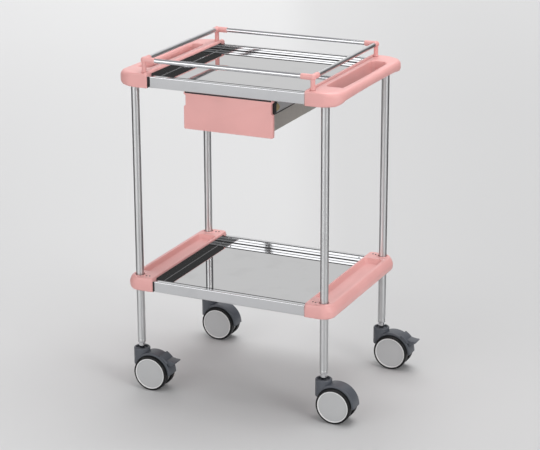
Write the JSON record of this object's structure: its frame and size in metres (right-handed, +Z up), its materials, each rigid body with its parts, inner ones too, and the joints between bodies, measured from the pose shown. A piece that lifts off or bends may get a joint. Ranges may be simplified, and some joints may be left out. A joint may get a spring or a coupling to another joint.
{
  "type": "spa trolley cart",
  "caption": "Tiered steel spa trolley with moulded push handles, mirror-steel shelves, a top guard rail, a pull-out drawer and braked swivel casters.",
  "frame": {"origin": "on the floor, under the middle of the trolley's bounding box", "axes": "+Z up, +X right along the long front, -Y towards the drawer's front"},
  "size_m": [0.716, 0.4818, 0.9507],
  "materials": {
    "pink_moulding": "satin moulded",
    "polished_steel": "polished stainless",
    "mirror_steel": "mirror-polished stainless sheet",
    "drawer_steel": "plain sheet",
    "zinc_slide": "zinc-plated",
    "dark_housing": "satin moulded",
    "black_tread": "smooth tread",
    "grey_disc": "satin moulded"
  },
  "bodies": {
    "root": {"post_front_left": "polished_steel", "post_front_right": "polished_steel", "post_rear_left": "polished_steel", "post_rear_right": "polished_steel", "upper_handle_left": "pink_moulding", "lower_tray_left": "pink_moulding", "upper_handle_right": "pink_moulding", "lower_tray_right": "pink_moulding", "upper_rail_front": "polished_steel", "upper_rail_rear": "polished_steel", "upper_shelf_plate": "mirror_steel", "lower_rail_front": "polished_steel", "lower_rail_rear": "polished_steel", "lower_shelf_plate": "mirror_steel", "guard_fitting_front_left": "pink_moulding", "guard_fitting_front_right": "pink_moulding", "guard_fitting_rear_left": "pink_moulding", "guard_fitting_rear_right": "pink_moulding", "guard_rod_front": "polished_steel", "guard_rod_rear": "polished_steel", "guard_rod_left": "polished_steel", "guard_rod_right": "polished_steel", "slide_outer_left": "zinc_slide", "slide_outer_right": "zinc_slide", "caster_stem_front_left": "polished_steel", "caster_stem_front_right": "polished_steel", "caster_stem_rear_left": "polished_steel", "caster_stem_rear_right": "polished_steel"},
    "drawer": {"drawer_front": "pink_moulding", "drawer_box": "drawer_steel", "slide_inner_left": "zinc_slide", "slide_inner_right": "zinc_slide"},
    "slide_middle_left": {"slide_middle_left": "zinc_slide"},
    "slide_middle_right": {"slide_middle_right": "zinc_slide"},
    "caster_front_left": {"caster_housing_front_left": "dark_housing", "caster_axle_front_left": "polished_steel"},
    "wheel_front_left_front": {"tyre_front_left_front": "black_tread", "hub_front_left_front": "grey_disc"},
    "wheel_front_left_rear": {"tyre_front_left_rear": "black_tread", "hub_front_left_rear": "grey_disc"},
    "lever_front_left": {"brake_lever_front_left": "dark_housing"},
    "caster_front_right": {"caster_housing_front_right": "dark_housing", "caster_axle_front_right": "polished_steel"},
    "wheel_front_right_front": {"tyre_front_right_front": "black_tread", "hub_front_right_front": "grey_disc"},
    "wheel_front_right_rear": {"tyre_front_right_rear": "black_tread", "hub_front_right_rear": "grey_disc"},
    "caster_rear_left": {"caster_housing_rear_left": "dark_housing", "caster_axle_rear_left": "polished_steel"},
    "wheel_rear_left_front": {"tyre_rear_left_front": "black_tread", "hub_rear_left_front": "grey_disc"},
    "wheel_rear_left_rear": {"tyre_rear_left_rear": "black_tread", "hub_rear_left_rear": "grey_disc"},
    "caster_rear_right": {"caster_housing_rear_right": "dark_housing", "caster_axle_rear_right": "polished_steel"},
    "wheel_rear_right_front": {"tyre_rear_right_front": "black_tread", "hub_rear_right_front": "grey_disc"},
    "wheel_rear_right_rear": {"tyre_rear_right_rear": "black_tread", "hub_rear_right_rear": "grey_disc"},
    "lever_rear_right": {"brake_lever_rear_right": "dark_housing"}
  },
  "joints": [
    {"name": "drawer_slide", "type": "slide", "parent": "root", "child": "drawer", "axis": [0, -1, 0], "range_m": [0, 0.3]},
    {"name": "slide_middle_left_run", "type": "slide", "parent": "root", "child": "slide_middle_left", "axis": [0, -1, 0], "range_m": [0, 0.15]},
    {"name": "slide_middle_right_run", "type": "slide", "parent": "root", "child": "slide_middle_right", "axis": [0, -1, 0], "range_m": [0, 0.15]},
    {"name": "swivel_front_left", "type": "hinge", "parent": "root", "child": "caster_front_left", "pos_m": [-0.3095, -0.2105, 0.1], "axis": [0, 0, 1], "continuous": true},
    {"name": "wheel_front_left_front_spin", "type": "hinge", "parent": "caster_front_left", "child": "wheel_front_left_front", "pos_m": [-0.2715, -0.2105, 0.05], "axis": [0, 1, 0], "continuous": true},
    {"name": "wheel_front_left_rear_spin", "type": "hinge", "parent": "caster_front_left", "child": "wheel_front_left_rear", "pos_m": [-0.2715, -0.2105, 0.05], "axis": [0, 1, 0], "continuous": true},
    {"name": "brake_front_left", "type": "hinge", "parent": "caster_front_left", "child": "lever_front_left", "pos_m": [-0.2715, -0.2105, 0.05], "axis": [0, 1, 0], "range_deg": [0, 12]},
    {"name": "swivel_front_right", "type": "hinge", "parent": "root", "child": "caster_front_right", "pos_m": [0.2455, -0.2105, 0.1], "axis": [0, 0, 1], "continuous": true},
    {"name": "wheel_front_right_front_spin", "type": "hinge", "parent": "caster_front_right", "child": "wheel_front_right_front", "pos_m": [0.2835, -0.2105, 0.05], "axis": [0, 1, 0], "continuous": true},
    {"name": "wheel_front_right_rear_spin", "type": "hinge", "parent": "caster_front_right", "child": "wheel_front_right_rear", "pos_m": [0.2835, -0.2105, 0.05], "axis": [0, 1, 0], "continuous": true},
    {"name": "swivel_rear_left", "type": "hinge", "parent": "root", "child": "caster_rear_left", "pos_m": [-0.3095, 0.2105, 0.1], "axis": [0, 0, 1], "continuous": true},
    {"name": "wheel_rear_left_front_spin", "type": "hinge", "parent": "caster_rear_left", "child": "wheel_rear_left_front", "pos_m": [-0.2715, 0.2105, 0.05], "axis": [0, 1, 0], "continuous": true},
    {"name": "wheel_rear_left_rear_spin", "type": "hinge", "parent": "caster_rear_left", "child": "wheel_rear_left_rear", "pos_m": [-0.2715, 0.2105, 0.05], "axis": [0, 1, 0], "continuous": true},
    {"name": "swivel_rear_right", "type": "hinge", "parent": "root", "child": "caster_rear_right", "pos_m": [0.2455, 0.2105, 0.1], "axis": [0, 0, 1], "continuous": true},
    {"name": "wheel_rear_right_front_spin", "type": "hinge", "parent": "caster_rear_right", "child": "wheel_rear_right_front", "pos_m": [0.2835, 0.2105, 0.05], "axis": [0, 1, 0], "continuous": true},
    {"name": "wheel_rear_right_rear_spin", "type": "hinge", "parent": "caster_rear_right", "child": "wheel_rear_right_rear", "pos_m": [0.2835, 0.2105, 0.05], "axis": [0, 1, 0], "continuous": true},
    {"name": "brake_rear_right", "type": "hinge", "parent": "caster_rear_right", "child": "lever_rear_right", "pos_m": [0.2835, 0.2105, 0.05], "axis": [0, 1, 0], "range_deg": [0, 12]}
  ],
  "couplings": [
    {"joint": "slide_middle_left_run", "follows": "drawer_slide", "ratio": 0.5},
    {"joint": "slide_middle_right_run", "follows": "drawer_slide", "ratio": 0.5}
  ]
}
